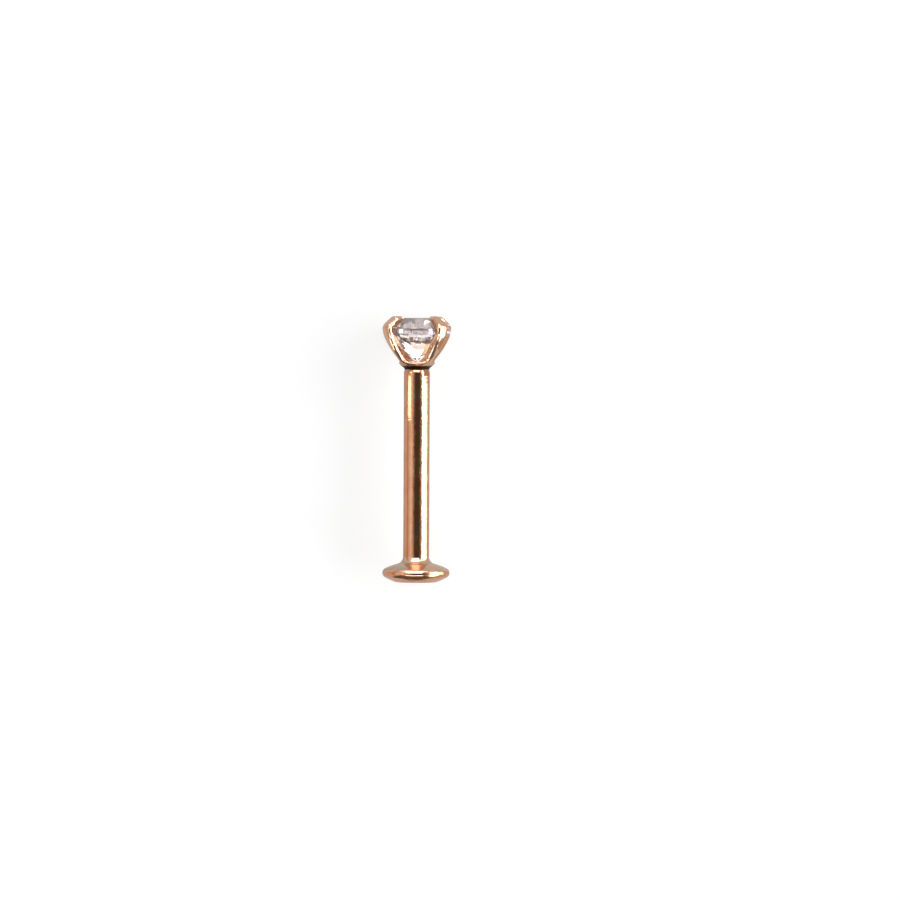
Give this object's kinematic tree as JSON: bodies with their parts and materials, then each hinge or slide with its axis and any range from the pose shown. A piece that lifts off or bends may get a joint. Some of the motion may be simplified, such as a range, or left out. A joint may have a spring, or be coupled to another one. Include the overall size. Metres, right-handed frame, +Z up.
{
  "type": "labret stud",
  "caption": "Labret stud in rose gold tone: a round post on a domed flat-back disc, with a pronged cup that holds a clear round brilliant. It lies on its side.",
  "frame": {"origin": "middle of the underside of the box round the stud, on the table that it lies on", "axes": "+X along the post from the disc to the head, within a tenth of a degree; +Z up from the table"},
  "size_m": [0.0106, 0.0028, 0.0027],
  "materials": {
    "rose_gold": "polished",
    "clear_stone": "polished"
  },
  "bodies": {
    "root": {"post": "rose_gold", "setting": "rose_gold", "stone": "clear_stone"}
  },
  "joints": []
}
